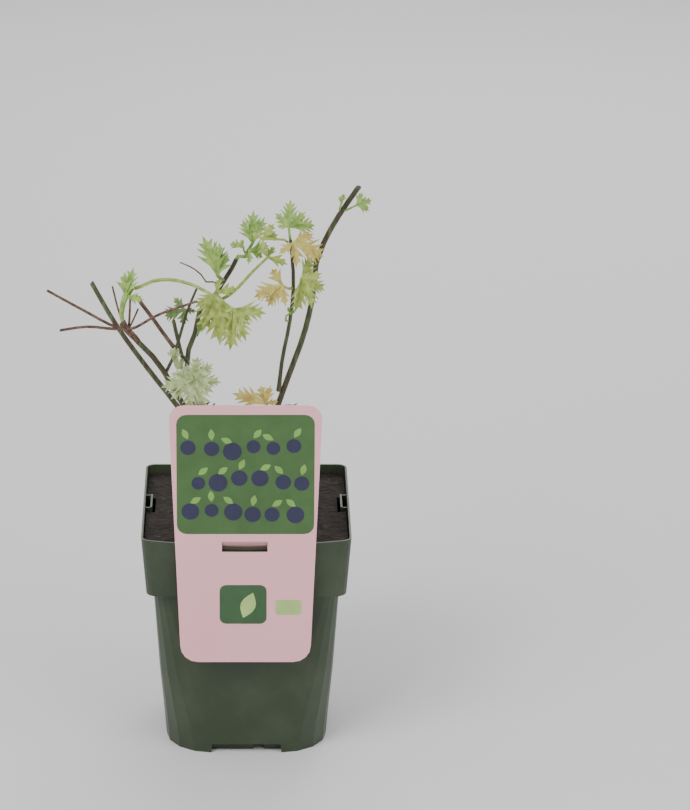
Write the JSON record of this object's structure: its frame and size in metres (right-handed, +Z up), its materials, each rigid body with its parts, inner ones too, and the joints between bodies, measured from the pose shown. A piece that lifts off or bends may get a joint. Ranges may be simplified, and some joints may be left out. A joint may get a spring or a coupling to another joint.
{
  "type": "potted thornless bramble",
  "caption": "Young bramble with smooth bare canes and small fresh leaves, in a square nursery pot filled with peat, with a hang label on the front rim.",
  "frame": {"origin": "under the middle of the pot, on the surface that it stands on", "axes": "+Z up, -Y towards the label and the viewer, +X to the right of someone who looks at the label"},
  "size_m": [0.2001, 0.1359, 0.3553],
  "materials": {
    "pot": "satin dark green moulded plastic",
    "soil": "rough moist peat",
    "label": "smooth printed card",
    "cane": "smooth green brown bark",
    "dry_cane": "dry brown bark",
    "leaf": "soft young leaf",
    "dry_stalk": "dry stalk"
  },
  "bodies": {
    "root": {"arching_leaf": "leaf", "back_cane": "cane", "back_leaf": "leaf", "back_spur": "dry_cane", "centre_spray": "leaf", "curled_shoot": "leaf", "dry_tendril": "dry_stalk", "folded_leaf": "leaf", "foot_leaf": "leaf", "label_card": "label", "left_crown": "dry_stalk", "left_crown_cane": "cane", "left_long_cane": "cane", "left_shoot": "leaf", "link_leaf": "leaf", "low_bud": "leaf", "low_left_leaf": "leaf", "low_right_leaf": "leaf", "middle_cane": "cane", "middle_spur": "cane", "nursery_pot": "pot", "pleated_leaf": "leaf", "potting_soil": "soil", "rear_left_leaf": "leaf", "rear_right_leaf": "leaf", "right_cane": "cane", "right_inner_cane": "cane", "star_leaf": "leaf", "straight_leaf": "leaf", "tip_leaf": "leaf", "tip_leaflet": "leaf", "top_leaf": "leaf", "top_left_leaves": "leaf", "yellow_leaf": "leaf"}
  },
  "joints": []
}
